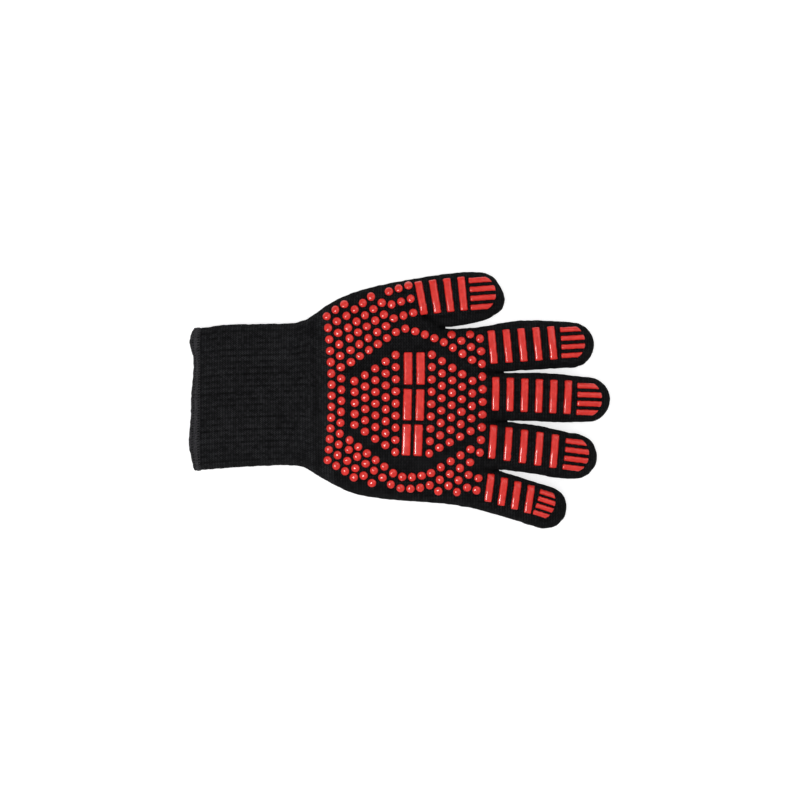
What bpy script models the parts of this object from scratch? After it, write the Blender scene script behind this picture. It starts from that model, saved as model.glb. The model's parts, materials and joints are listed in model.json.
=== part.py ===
"""Heat resistant grill glove for the left hand, lying empty on its back with the palm up.

+X runs to the fingertips, +Y to the thumb and +Z out of the palm. The origin is on the
surface that the glove lies on, under the middle of its outline. Units are metres.

The knitted shell and the liner inside it are each cut across where the fabric folds, so that
every digit can curl. A fold turns about a line in the palm-side surface, where the empty glove
creases, and the wrist turns about the middle of the glove's thickness.
"""

import math

import bmesh
import bpy
from mathutils import Vector

# Cloth
THICKNESS = 0.016  # of the empty glove as it lies
EDGE_RADIUS = 0.0075  # roundness of the shell's side, seen in section
SHELL_WALL = 0.0016
LINER_WALL = 0.0014
LAYER_GAP = 0.0003  # between two layers, and under each silicone piece
FOLD_GAP = 0.0006  # between the cloth on the two sides of a fold
ROUND_STEPS = 2  # bevel resolution of the cloth's rounded sides

# Outline
TIP_STEPS = 8
WEB_RADIUS = 0.0005
WEB_STEPS = 4
CUFF_END = -0.150
HEM_WIDTH = 0.004
CUFF_RUN_OUT = -0.175  # the uncut cloth runs on to here, past the cuff's end
CLEAR = 0.100  # further from the middle than any cloth, across the glove

# Wrist
WRIST_X = -0.062
WRIST_SWING = 43  # degrees of room each way
WRIST_NOTCH_DEPTH = 0.0086  # a little past the middle, so that the cut ends clear the hinge

# Silicone
BAR_WIDTH = 0.0053
BAR_HEIGHT = 0.0016
BAR_EDGE = 0.0005
PALM_BAR_SIZE = (0.0058, 0.0233)
FILM_HEIGHT = 0.0005  # silicone soaked into the knit between two palm bars
FILM_LIFT = 0.0001

BLACK_KNIT = ("black_knit", (0.012, 0.012, 0.013, 1), 0.95)
LINER_KNIT = ("liner_knit", (0.030, 0.030, 0.032, 1), 0.95)
HEM_YARN = ("hem_yarn", (0.022, 0.022, 0.025, 1), 0.9)
RED_SILICONE = ("red_silicone", (0.72, 0.045, 0.035, 1), 0.35)


def arc(centre, radius, start, end, steps):
    """Points on a circle from one angle to another, in degrees."""
    angles = [math.radians(start + (end - start) * i / steps) for i in range(steps + 1)]
    return [(centre[0] + radius * math.cos(a), centre[1] + radius * math.sin(a)) for a in angles]


def fingertip(centre, radius, heading):
    """The half circle at the end of a digit that points along heading."""
    return arc(centre, radius, heading - 90, heading + 90, TIP_STEPS)


def web(centre):
    """The closed end of the slot between two digits, from the lower one round to the upper."""
    return arc(centre, WEB_RADIUS, 270, 90, WEB_STEPS)


LITTLE_SIDE = [
    (CUFF_RUN_OUT, -0.0500), (-0.1447, -0.0501), (-0.1250, -0.0487), (-0.1000, -0.0472),
    (-0.0800, -0.0467), (-0.0690, -0.0480), (-0.0594, -0.0537), (-0.0466, -0.0608),
    (-0.0338, -0.0665), (-0.0167, -0.0700), (0.0046, -0.0721), (0.0260, -0.0736),
    (0.0473, -0.0764), (0.0643, -0.0807), (0.0814, -0.0857), (0.0942, -0.0899),
]
LITTLE_UPPER = [(0.0985, -0.0592), (0.0857, -0.0551), (0.0770, -0.0523), (0.0728, -0.0511)]
RING_LOWER = [(0.0730, -0.0494), (0.0857, -0.0514), (0.0985, -0.0532), (0.1110, -0.0556)]
RING_UPPER = [(0.1198, -0.0230), (0.1110, -0.0209), (0.0985, -0.0182), (0.0857, -0.0166)]
MIDDLE_LOWER = [(0.0814, -0.0147), (0.0985, -0.0153), (0.1155, -0.0160)]
MIDDLE_UPPER = [(0.1240, 0.0174), (0.1110, 0.0188), (0.0985, 0.0195), (0.0857, 0.0194)]
INDEX_LOWER = [(0.0814, 0.0208), (0.0985, 0.0217), (0.1110, 0.0225)]
INDEX_UPPER = [
    (0.1110, 0.0559), (0.0985, 0.0559), (0.0857, 0.0557), (0.0730, 0.0544), (0.0600, 0.0524),
    (0.0470, 0.0512),
]
THUMB_LOWER = [(0.0387, 0.0525), (0.0470, 0.0538), (0.0558, 0.0557)]
THUMB_TIP = [
    (0.0625, 0.0578), (0.0686, 0.0613), (0.0729, 0.0652), (0.0748, 0.0710), (0.0738, 0.0765),
    (0.0712, 0.0820), (0.0672, 0.0871), (0.0605, 0.0907),
]
THUMB_SIDE = [
    (0.0520, 0.0915), (0.0430, 0.0911), (0.0260, 0.0892), (0.0089, 0.0864), (-0.0082, 0.0832),
    (-0.0252, 0.0793), (-0.0380, 0.0750), (-0.0508, 0.0686), (-0.0600, 0.0622), (-0.0680, 0.0572),
    (-0.0764, 0.0551), (-0.1000, 0.0544), (-0.1250, 0.0537), (-0.1404, 0.0517),
    (CUFF_RUN_OUT, 0.0505),
]

OUTLINE = (
    LITTLE_SIDE
    + fingertip((0.1038, -0.0766), 0.0152, -18)
    + LITTLE_UPPER
    + web((0.0700, -0.0501))
    + RING_LOWER
    + fingertip((0.1245, -0.0402), 0.0162, -9)
    + RING_UPPER
    + web((0.0780, -0.0152))
    + MIDDLE_LOWER
    + fingertip((0.1341, 0.0003), 0.0159, -2.5)
    + MIDDLE_UPPER
    + web((0.0750, 0.0199))
    + INDEX_LOWER
    + fingertip((0.1222, 0.0393), 0.0163, 2)
    + INDEX_UPPER
    + web((0.0322, 0.0515))
    + THUMB_LOWER
    + THUMB_TIP
    + THUMB_SIDE
)

# Each digit's folds, from its root: the middle of the line, how far the line leans towards the
# wrist at its thumb side in degrees, and its reach to the little finger's side and the thumb's.
FOLDS = {
    "little": [
        ((0.0683, -0.0665), -6, 0.0200, 0.0163),
        ((0.0775, -0.0690), -7, 0.0176, 0.0176),
        ((0.0957, -0.0745), -9, 0.0180, 0.0180),
    ],
    "ring": [
        ((0.0714, -0.0326), -3, 0.0172, 0.0171),
        ((0.0934, -0.0350), -4, 0.0190, 0.0184),
        ((0.1149, -0.0390), -5, 0.0185, 0.0185),
    ],
    "middle": [
        ((0.0729, 0.0023), -1, 0.0172, 0.0173),
        ((0.1035, 0.0022), -2, 0.0190, 0.0190),
        ((0.1240, 0.0010), -2, 0.0185, 0.0185),
    ],
    "index": [
        ((0.0710, 0.0370), 3, 0.0168, 0.0200),
        ((0.0922, 0.0386), 4, 0.0184, 0.0190),
        ((0.1126, 0.0390), 4.5, 0.0185, 0.0185),
    ],
    "thumb": [
        ((0.0294, 0.0743), 8.5, 0.0229, 0.0210),
        ((0.0485, 0.0730), 4.5, 0.0205, 0.0210),
    ],
}
# Which way each fingertip points, in degrees from +X.
HEADINGS = {"little": -18, "ring": -9, "middle": -2.5, "index": 2, "thumb": 8}
SEGMENT_NAMES = {3: ("base", "middle", "tip"), 2: ("base", "tip")}
TIP_RUN_OUT = 0.048  # a tip's cut reaches this far past its fold

# Each digit's row of bars: the first bar's middle, the last one's, how many there are, how far
# the first and the last lean towards the wrist at their thumb side in degrees, and their length.
BAR_ROWS = {
    "little": ((0.0636, -0.0623), (0.0919, -0.0704), 4, -7.7, -8.9, 0.0200),
    "ring": ((0.0658, -0.0296), (0.1095, -0.0363), 5, -4.2, -5.0, 0.0240),
    "middle": ((0.0679, 0.0044), (0.1191, 0.0020), 6, -1.0, -3.0, 0.0240),
    "index": ((0.0658, 0.0376), (0.1081, 0.0405), 5, 5.3, 5.7, 0.0238),
    "thumb": ((0.0151, 0.0725), (0.0444, 0.0755), 4, 10.7, 5.4, 0.0242),
}

# The palm's three pairs of bars: the middle of each pair, and its lean.
PALM_BAR_PAIRS = {
    "index_side": ((0.0102, 0.0224), 0),
    "centre": ((0.0097, -0.0034), -1.5),
    "little_side": ((0.0087, -0.0284), -2),
}
PALM_BAR_PITCH = 0.0089


def clear_scene():
    for obj in list(bpy.data.objects):
        bpy.data.objects.remove(obj)


def collection(name):
    made = bpy.data.collections.new(name)
    bpy.context.scene.collection.children.link(made)
    return made


def material(name, colour, roughness):
    made = bpy.data.materials.new(name)
    made.use_nodes = True
    shader = made.node_tree.nodes["Principled BSDF"]
    shader.inputs["Base Color"].default_value = colour
    shader.inputs["Roughness"].default_value = roughness
    return made


def helper(obj):
    """Puts a cutter or a guide in its own collection, out of the render."""
    obj.hide_render = True
    obj.display_type = "WIRE"
    HELPERS.objects.link(obj)
    return obj


def meshed(curve_object):
    """The curve object as a welded mesh object of the same name, hidden as a helper."""
    graph = bpy.context.evaluated_depsgraph_get()
    mesh = bpy.data.meshes.new_from_object(curve_object.evaluated_get(graph))
    curve = curve_object.data
    name = curve_object.name
    matrix = curve_object.matrix_world.copy()
    bpy.data.objects.remove(curve_object)
    bpy.data.curves.remove(curve)
    shape = bmesh.new()
    shape.from_mesh(mesh)
    bmesh.ops.remove_doubles(shape, verts=shape.verts, dist=1e-6)
    bmesh.ops.recalc_face_normals(shape, faces=shape.faces)
    shape.to_mesh(mesh)
    shape.free()
    made = bpy.data.objects.new(name, mesh)
    made.matrix_world = matrix
    return helper(made)


def plate(name, points, half_height, middle_z, inset=0.0, edge=0.0):
    """A flat plate of that outline, shrunk by inset, with its edges rounded to the radius edge."""
    curve = bpy.data.curves.new(name, "CURVE")
    curve.dimensions = "2D"
    curve.fill_mode = "BOTH"
    curve.extrude = half_height - edge
    curve.bevel_depth = edge
    curve.bevel_resolution = ROUND_STEPS
    curve.offset = -(inset + edge)
    spline = curve.splines.new("POLY")
    spline.points.add(len(points) - 1)
    for point, (x, y) in zip(spline.points, points):
        point.co = (x, y, 0, 1)
    spline.use_cyclic_u = True
    made = bpy.data.objects.new(name, curve)
    made.location.z = middle_z
    HELPERS.objects.link(made)
    bpy.context.view_layer.update()
    return meshed(made)


def layer(name, inset):
    """The whole glove's outline as a solid, its surface that far inside the shell's."""
    return plate(name, OUTLINE, THICKNESS / 2 - inset, THICKNESS / 2, inset, EDGE_RADIUS - inset)


def line_ends(fold):
    """The two ends of a fold's line: at the little finger's side, and at the thumb's."""
    (x, y), lean, low_reach, high_reach = fold
    across = (-math.sin(math.radians(lean)), math.cos(math.radians(lean)))
    low = (x - across[0] * low_reach, y - across[1] * low_reach)
    high = (x + across[0] * high_reach, y + across[1] * high_reach)
    return low, high


def moved(point, x=0.0, y=0.0):
    return (point[0] + x, point[1] + y)


def segment_outline(digit, number):
    """The plan of one segment of a digit: from its fold to the next one, or past the tip."""
    half_gap = FOLD_GAP / 2
    low, high = line_ends(FOLDS[digit][number])
    low, high = moved(low, half_gap, half_gap), moved(high, half_gap, -half_gap)
    if number + 1 < len(FOLDS[digit]):
        far_low, far_high = line_ends(FOLDS[digit][number + 1])
        return [low, moved(far_low, -half_gap), moved(far_high, -half_gap), high]
    heading = math.radians(HEADINGS[digit])
    run = (TIP_RUN_OUT * math.cos(heading), TIP_RUN_OUT * math.sin(heading))
    return [low, moved(low, *run), moved(high, *run), high]


def palm_outline():
    """The plan of the palm's cloth: from the wrist to the first fold of each digit."""
    half_gap = FOLD_GAP / 2
    knuckles = []
    for digit in ("little", "ring", "middle", "index"):
        knuckles += [moved(end, -half_gap) for end in line_ends(FOLDS[digit][0])]
    thumb_low, thumb_high = (moved(end, -half_gap) for end in line_ends(FOLDS["thumb"][0]))
    thumb_slot = [(0.0690, 0.0580), (0.0600, 0.0545), (0.0470, 0.0525), (0.0400, 0.0518)]
    start = WRIST_X + half_gap
    return [(start, -CLEAR), (0.0650, -CLEAR), *knuckles, *thumb_slot, thumb_low, thumb_high,
            (start, CLEAR)]


def across_plan(low_x, high_x):
    """The plan of a strip right across the glove."""
    return [(low_x, -CLEAR), (high_x, -CLEAR), (high_x, CLEAR), (low_x, CLEAR)]


def cutter(name, points):
    """A helper that reaches above and below the glove over that plan."""
    return plate(name, points, THICKNESS, THICKNESS / 2)


def wrist_notch(name, z):
    """A V shaped notch across the wrist, open at the surface at height z."""
    half_width = WRIST_NOTCH_DEPTH * math.tan(math.radians(WRIST_SWING / 2))
    shape = bmesh.new()
    bmesh.ops.create_cone(shape, cap_ends=True, segments=4, radius1=1, radius2=1, depth=2 * CLEAR)
    for vert in shape.verts:
        # The four-sided prism stands on Z, and is laid along Y.
        x, y, along = vert.co
        vert.co = (x * half_width, along, y * WRIST_NOTCH_DEPTH)
    bmesh.ops.recalc_face_normals(shape, faces=shape.faces)
    mesh = bpy.data.meshes.new(name)
    shape.to_mesh(mesh)
    shape.free()
    made = bpy.data.objects.new(name, mesh)
    made.location = (WRIST_X, 0, z)
    return helper(made)


def boolean(obj, operation, other):
    modifier = obj.modifiers.new(operation.title(), "BOOLEAN")
    modifier.operation = operation
    modifier.solver = "EXACT"
    modifier.object = other


def pivot(body, place, parent_body=None):
    """The empty on a moving body's joint. What is on the body is parented to it."""
    made = bpy.data.objects.new(f"{body}_pivot", None)
    made.empty_display_size = 0.01
    made.location = place
    if parent_body in PIVOTS:
        made.parent = PIVOTS[parent_body]
        made.location -= PLACES[parent_body]
    GLOVE.objects.link(made)
    PIVOTS[body], PLACES[body] = made, Vector(place)


def attach(obj, body):
    """Parents obj to its body's pivot where it is. The palm is the root, and has no pivot."""
    if body in PIVOTS:
        obj.parent = PIVOTS[body]
        obj.location -= PLACES[body]


def cloth(name, body, outer, bore, plan, look, *more_cutters):
    """A piece of one layer of cloth: what the plan covers of outer, hollowed by bore."""
    made = bpy.data.objects.new(name, outer.data.copy())
    made.location = outer.location
    made.data.materials.append(look)
    boolean(made, "INTERSECT", plan)
    boolean(made, "DIFFERENCE", bore)
    for other in more_cutters:
        boolean(made, "DIFFERENCE", other)
    GLOVE.objects.link(made)
    attach(made, body)


def bar_mesh(width, length, look):
    """A silicone bar with its long side across the digit, standing on z = 0."""
    mesh = bpy.data.meshes.new("bar")
    mesh.materials.append(look)
    shape = bmesh.new()
    bmesh.ops.create_cube(shape, size=1)
    for vert in shape.verts:
        vert.co = (vert.co.x * width, vert.co.y * length, (vert.co.z + 0.5) * BAR_HEIGHT)
    upper = [e for e in shape.edges if all(v.co.z > BAR_HEIGHT / 2 for v in e.verts)]
    bmesh.ops.bevel(shape, geom=upper, offset=BAR_EDGE, segments=1, affect="EDGES")
    shape.to_mesh(mesh)
    shape.free()
    return mesh


def bar(name, body, mesh, place, lean):
    made = bpy.data.objects.new(name, mesh)
    made.location = (*place, THICKNESS + LAYER_GAP)
    made.rotation_euler.z = math.radians(lean)
    GLOVE.objects.link(made)
    attach(made, body)
    return made


def body_at(digit, x):
    """The body under a bar at that x: the palm before the digit's first fold."""
    passed = sum(fold[0][0] < x for fold in FOLDS[digit])
    return f"{digit}_{SEGMENT_NAMES[len(FOLDS[digit])][passed - 1]}" if passed else "palm"


def digit_bars(digit, look):
    first, last, count, first_lean, last_lean, length = BAR_ROWS[digit]
    mesh = bar_mesh(BAR_WIDTH, length, look)
    for i in range(count):
        share = i / (count - 1)
        x = first[0] + (last[0] - first[0]) * share
        y = first[1] + (last[1] - first[1]) * share
        lean = first_lean + (last_lean - first_lean) * share
        bar(f"{digit}_bar_{i + 1}", body_at(digit, x), mesh, (x, y), lean)


def film(name, x, y, lean):
    """The thin silicone that joins the two bars of a pair through the knit."""
    width, length = PALM_BAR_PITCH, PALM_BAR_SIZE[1] / 2
    bpy.ops.mesh.primitive_cube_add(size=1)
    made = bpy.context.object
    made.name = name
    made.data.transform(made.matrix_world)
    for vert in made.data.vertices:
        vert.co = (vert.co.x * width, vert.co.y * length, (vert.co.z + 0.5) * FILM_HEIGHT)
    made.location = (x, y, THICKNESS + LAYER_GAP + FILM_LIFT)
    made.rotation_euler.z = math.radians(lean)
    for owner in list(made.users_collection):
        owner.objects.unlink(made)
    return helper(made)


def palm_bar_pair(side, look):
    """Two palm bars side by side, joined by their film."""
    (x, y), lean = PALM_BAR_PAIRS[side]
    turn = math.radians(lean)
    half = PALM_BAR_PITCH / 2
    step = (half * math.cos(turn), half * math.sin(turn))
    mesh = bar_mesh(*PALM_BAR_SIZE, look)
    pair = bar(f"palm_bars_{side}", "palm", mesh, (x - step[0], y - step[1]), lean)
    second = bpy.data.objects.new(f"second_bar_{side}", mesh)
    second.location = (x + step[0], y + step[1], THICKNESS + LAYER_GAP)
    second.rotation_euler.z = turn
    boolean(pair, "UNION", film(f"film_{side}", x, y, lean))
    boolean(pair, "UNION", helper(second))


def build():
    knit, lining = material(*BLACK_KNIT), material(*LINER_KNIT)
    yarn, silicone = material(*HEM_YARN), material(*RED_SILICONE)

    shell = layer("shell_surface", 0.0)
    shell_bore = layer("shell_bore", SHELL_WALL)
    liner = layer("liner_surface", SHELL_WALL + LAYER_GAP)
    hand_bore = layer("hand_bore", SHELL_WALL + LAYER_GAP + LINER_WALL)

    hem_end = CUFF_END + HEM_WIDTH
    hem = cutter("hem_plan", across_plan(CUFF_END, hem_end))
    cuff = cutter("cuff_plan", across_plan(hem_end + LAYER_GAP, WRIST_X - FOLD_GAP / 2))
    palm = cutter("palm_plan", palm_outline())
    notches = wrist_notch("palm_notch", THICKNESS), wrist_notch("back_notch", 0.0)
    pivot("cuff", (WRIST_X, 0, THICKNESS / 2))
    cloth("cuff_hem", "cuff", shell, hand_bore, hem, yarn)
    for body, plan in (("cuff", cuff), ("palm", palm)):
        cloth(f"{body}_shell", body, shell, shell_bore, plan, knit, *notches)
        cloth(f"{body}_liner", body, liner, hand_bore, plan, lining, *notches)

    for digit, folds in FOLDS.items():
        parent_body = "palm"
        for number, segment in enumerate(SEGMENT_NAMES[len(folds)]):
            body = f"{digit}_{segment}"
            pivot(body, (*folds[number][0], THICKNESS), parent_body)
            plan = cutter(f"{body}_plan", segment_outline(digit, number))
            cloth(f"{body}_shell", body, shell, shell_bore, plan, knit)
            cloth(f"{body}_liner", body, liner, hand_bore, plan, lining)
            parent_body = body
        digit_bars(digit, silicone)

    for side in PALM_BAR_PAIRS:
        palm_bar_pair(side, silicone)


clear_scene()
GLOVE = collection("heat_resistant_glove")
HELPERS = collection("cutters")
PIVOTS, PLACES = {}, {}  # each moving body's empty, and where it is
build()
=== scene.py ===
"""Looks of the heat resistant glove: the knitted skin, its lining, the hem and the silicone.

The glove lies on its back: +X to the fingertips, +Y to the thumb, +Z out of the palm. The skin is
one sheet of cloth on each side of a plan outline, inflated by its distance from the edge. It is
then parted along lines placed so that each of a digit's pieces holds one joint's fold.
"""

import json
import math

import bpy
import numpy as np
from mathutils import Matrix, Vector
from mathutils.geometry import delaunay_2d_cdt
from mathutils.kdtree import KDTree


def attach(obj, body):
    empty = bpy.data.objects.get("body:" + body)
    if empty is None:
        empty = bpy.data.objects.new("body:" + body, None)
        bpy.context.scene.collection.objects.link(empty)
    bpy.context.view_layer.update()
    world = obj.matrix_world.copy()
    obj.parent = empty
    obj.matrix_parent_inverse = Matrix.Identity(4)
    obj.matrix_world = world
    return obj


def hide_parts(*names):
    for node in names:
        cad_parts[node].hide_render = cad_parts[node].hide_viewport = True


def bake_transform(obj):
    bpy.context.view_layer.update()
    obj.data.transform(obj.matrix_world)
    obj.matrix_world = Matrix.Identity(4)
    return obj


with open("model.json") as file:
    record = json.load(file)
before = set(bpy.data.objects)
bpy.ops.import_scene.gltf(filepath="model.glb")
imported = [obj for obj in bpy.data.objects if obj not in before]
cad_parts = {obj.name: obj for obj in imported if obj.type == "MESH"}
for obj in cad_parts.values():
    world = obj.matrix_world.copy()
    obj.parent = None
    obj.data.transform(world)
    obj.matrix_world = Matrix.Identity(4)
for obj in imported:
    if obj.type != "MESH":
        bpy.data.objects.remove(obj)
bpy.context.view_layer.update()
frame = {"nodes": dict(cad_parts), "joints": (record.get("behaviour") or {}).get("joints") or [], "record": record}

MM = 0.001
JOINTS = {joint["name"]: joint for joint in frame["joints"]}
SLOTS = {part["node"]: part["material_slot"] for part in frame["record"]["subparts"]}

# -------- cloth, in millimetres
HALF = 8.0  # the middle of the thickness, above the floor
SIDE_ROUND = 7.4  # how far in from the edge the sides' rounding reaches
CROWN, CROWN_REACH = 2.3, 26.0  # extra height of the palm side far from an edge
EDGE_STEP = 1.0  # between the outline's points
RING_INSETS = (0.25, 0.8, 1.6, 2.6, 3.8, 5.2)  # the rows of points that follow the edge
CUFF_GRID, HAND_GRID = (1.6, 0.58), (1.35, 1.1625)  # between the points further in, in X and Y
CUFF_AREA, HAND_AREA = ((-178.0, -60), (-64, 60)), ((-64, -95), (152, 95))
RIB_PITCH, RIB_DEPTH = 4.3, 0.4
COURSE = 1.89  # between two rows of stitches
MOUTH_X, RUN_OUT_X = -143.8, -178.0  # the cuff's mouth, and where the plan ends beyond it
WRIST_CUT_X = -43.6
WRIST_BEND = (-50.0, -74.0)  # where the wrist's bend starts and ends
CUT_STEP, CUT_ROUND = 1.1, 7.0  # a cut's vertices are closer together this far in from its ends
FOLD_BEFORE, FOLD_AFTER = 2.35, 2.75  # the bending stretch on each side of a fold's line
ROOT_GAP = 0.6  # how far before its first fold's bend a digit is parted from the palm
LITTLE_REACH, DIGIT_REACH = 19, 17  # from the middle of a digit to about its outline
PAST_FOLD = 2.9  # a place this far past a fold is in the piece that holds that fold
SLIT_HALF, SLIT_POINT = 0.35, 0.4  # half of a slit's width, and how far its end is pointed

# The outline from the cuff's mouth along the little finger's side to the thumb's.
LITTLE_SIDE = [
    (RUN_OUT_X, -50.0), (-150, -50.0), (-144.7, -50.1), (-125, -48.7), (-100, -47.2), (-80, -46.7),
    (-69, -48.0), (-59.4, -53.7), (-46.6, -60.8), (-33.8, -66.5), (-16.7, -70.0), (4.6, -72.1),
    (26, -73.6), (47.3, -76.4), (64.3, -80.7), (81.4, -85.7), (94.2, -89.9),
]
THUMB_SIDE = [
    (52.0, 91.5), (43.0, 91.1), (26.0, 89.2), (8.9, 86.4), (-8.2, 83.2), (-25.2, 79.3),
    (-38.0, 75.0), (-50.8, 68.6), (-60.0, 62.2), (-68.0, 57.2), (-76.4, 55.1), (-100.0, 54.4),
    (-125, 53.7), (-140.4, 51.7), (-150, 50.5), (RUN_OUT_X, 50.5),
]
# Each digit: its lower side, its tip's round (centre, radius and heading) and its upper side.
DIGITS = {
    "little": (LITTLE_SIDE, ((103.8, -76.6), 15.2, -18),
               [(98.5, -59.2), (85.7, -55.1), (77.0, -52.3), (70.5, -50.5)]),
    "ring": ([(70.5, -49.8), (85.7, -51.4), (98.5, -53.2), (111.0, -55.6)],
             ((124.5, -40.2), 16.2, -9),
             [(119.8, -23.0), (111.0, -20.9), (98.5, -18.2), (85.7, -16.6), (77.8, -15.6)]),
    "middle": ([(77.8, -14.9), (85.7, -14.9), (98.5, -15.3), (115.5, -16.0)],
               ((134.1, 0.3), 15.9, -2.5),
               [(124.0, 17.4), (111.0, 18.8), (98.5, 19.5), (85.7, 19.4), (75.2, 19.5)]),
    "index": ([(75.2, 20.2), (85.7, 21.0), (98.5, 21.7), (111.0, 22.5)],
              ((122.2, 39.3), 16.3, 2),
              [(111.0, 56.3), (98.5, 56.9), (85.7, 56.7), (73.0, 55.1), (60.0, 52.7),
               (47.0, 51.2), (36.0, 50.9)]),
    "thumb": ([(36.0, 52.2), (47.0, 53.8), (55.8, 55.7)], None,
              [(62.5, 57.8), (68.6, 61.3), (72.9, 65.2), (74.8, 71.0), (73.8, 76.5), (71.2, 82.0),
               (67.2, 87.1), (60.5, 90.7), *THUMB_SIDE]),
}
# The X of each crotch that shows. A web closes the slit from its end, below, out to the crotch.
CROTCHES = {"little_ring": 71.0, "ring_middle": 77.0, "middle_index": 74.4, "index_thumb": 32.6}
# WEB_SHADE is painted shade: it darkens the webs, which lie in the crotches between the digits.
WEB_LAP, WEB_ROOT, WEB_HEIGHT, WEB_MIDDLE, WEB_SHADE = 0.35, 1.2, 3.4, 6.2, 0.45
SLIT_ENDS = {
    "little_ring": (67.0, -50.2), "ring_middle": (69.4, -15.3), "middle_index": (68.2, 19.9),
    "index_thumb": (29.6, 51.9),
}

# -------- silicone, in millimetres
DOT_RADIUS, DOT_HEIGHT = 2.93, 1.45
DOT_VARIES = 0.03, 0.04, 0.06  # how much dots vary in size, roundness and height
DOT_TILT = 0.13  # how much higher a dot's one side may be than its middle
BAR_SIZE = 5.25, 1.55  # width and height
PALM_BAR_SIZE = 6.1, 1.6
# How far each pair of the palm's bars leans, in degrees, and how long its bars are.
PALM_BARS = {"palm_bars_index_side": (0.0, 23.0), "palm_bars_centre": (-1.5, 22.3),
             "palm_bars_little_side": (-2.0, 22.3)}
# Each row of dots: X and Y of its first and last dot, how many, and how far its middle bows to
# the left of the way from first to last and slips along it.
DOT_ROWS = [
    (-52.0, 59.4, -51.4, -42.7, 14, 3.2, 1.4), (-45.9, 64.1, -45.3, -46.7, 15, 4.0, 1.4),
    (-32.3, 13.4, -32.3, -17.6, 5, 0.2), (-24.9, 17.6, -24.9, -22.4, 6, 0.2),
    (-17.6, 22.3, -17.6, -27.5, 7, 0.2), (-10.2, 27.3, -10.4, -32.0, 8, 0.2),
    (-3.1, 31.9, -3.4, -36.9, 9, 0.2), (22.6, 32.1, 20.7, -37.9, 9, 0.5),
    (29.8, 27.6, 27.9, -33.8, 8, 0.5), (37.1, 22.7, 35.3, -30.0, 7, 0.4),
    (44.1, 18.3, 42.6, -26.0, 6, 0.3), (51.4, 13.6, 50.1, -22.0, 5, 0.2),
    (56.8, 43.6, 56.7, -37.3, 10, 1.9), (55.7, -55.5, 54.3, -64.1, 2, 0),
    (-34.8, 26.9, -2.9, 48.2, 6, 0), (3.8, 50.6, 31.1, 41.0, 5, 0.7),
    (37.5, 37.1, 51.1, 28.5, 3, 0), (-35.1, 35.3, -9.9, 52.4, 5, 0),
    (-35.8, 43.7, -11.4, 60.6, 5, 0), (-36.8, 51.2, -12.9, 69.0, 5, 0),
    (-38.0, 59.7, -20.6, 73.4, 4, 0), (-39.6, 68.0, -39.6, 68.0, 1, 0),
    (-7.9, 77.1, 6.0, 81.4, 3, 0), (-6.0, 67.8, 7.6, 71.9, 3, 0), (-4.4, 57.9, 9.4, 61.9, 3, 0),
    (36.6, 46.4, 50.4, 37.6, 3, 0), (49.8, 46.6, 49.8, 46.6, 1, 0),
    (-35.8, -28.5, -4.9, -51.9, 6, 0), (1.6, -54.5, 22.0, -51.8, 4, -1.2),
    (28.9, -47.7, 50.0, -35.0, 4, 0), (-36.3, -35.3, -6.5, -59.9, 6, 0),
    (0.4, -62.6, 21.1, -60.5, 4, -1.2), (28.2, -56.6, 49.7, -44.2, 4, 0),
    (-37.5, -43.2, -20.0, -58.9, 4, 0), (-39.0, -50.6, -32.8, -54.9, 2, 0),
    (27.2, -64.7, 48.7, -53.1, 4, 0), (40.4, -65.3, 47.6, -62.1, 2, 0),
]
PAIR_REACH = 4.2  # how far the vertices of one palm bar are from its middle, at most
# Each fingertip's strips: the middle of the row, its heading, the pitch across, and where the
# strips start and end along the heading, measured from that middle.
TIP_STRIPS = {
    "little": ((102.6, -73.9), -18, 5.1, -5.6, 7.4), "ring": ((124.8, -39.1), -7, 6.2, -8.0, 9.3),
    "middle": ((134.0, 0.5), -2, 6.3, -8.2, 9.4), "index": ((122.4, 41.1), 3, 6.15, -8.0, 9.0),
    "thumb": ((57.9, 75.8), 4, 6.4, -8.2, 10.2),
}
STRIP_WIDTH, STRIP_HEIGHT = 3.85, 1.5
STRIP_SHARE = {"index": 0.91}  # of the width, where it doesn't follow from the pitch
STRIP_ARC, STRIP_CORNER = 0.030, 0.00013  # how the far ends curve back to each side
STRIP_STEP = 0.25  # how much earlier the outer strips start
# A bar's or strip's edge: how wide its round is, how high it starts, as a share, and how uneven it
# is. Then the crown of its top, and how deep its foot is in the knit.
MOULD_ROUND, MOULD_STEP, MOULD_UNEVEN, MOULD_CROWN, MOULD_FOOT = 1.25, 0.30, 0.13, 0.10, 0.5


# ======== plan
def waves(points, length, seed):
    """Soft unevenness between about -1 and 1, of that wavelength."""
    rng = np.random.default_rng(seed)
    total = np.zeros(len(points))
    for _ in range(7):
        angle, phase = rng.uniform(0, math.tau, 2)
        k = math.tau / (length * rng.uniform(0.7, 1.6))
        total += np.sin(points @ (k * math.cos(angle), k * math.sin(angle)) + phase)
    return total / 3.5


def way_at(angle):
    """The way in the plan at that angle from +X, in radians."""
    return np.array((math.cos(angle), math.sin(angle)))


def left_of(way):
    return np.array((-way[1], way[0]))


def fold(joint):
    """A joint's line in the plan: a point on it and the way that the digit runs there."""
    place, axis = JOINTS[joint]["pos_m"], JOINTS[joint]["axis"]
    return np.array(place[:2]) / MM, left_of(axis)


def chain(digit):
    """The digit's joints, from its root."""
    return [joint for joint in JOINTS.values() if joint["child"].startswith(digit)]


def arc_points(centre, radius, heading):
    angles = np.radians(np.arange(heading - 88, heading + 89, 8))
    return [(centre[0] + radius * math.cos(a), centre[1] + radius * math.sin(a)) for a in angles]


def mean(u, v, low, high, t):
    """Between u at low and v at high."""
    return (u * (high - t) + v * (t - low)) / (high - low)


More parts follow.
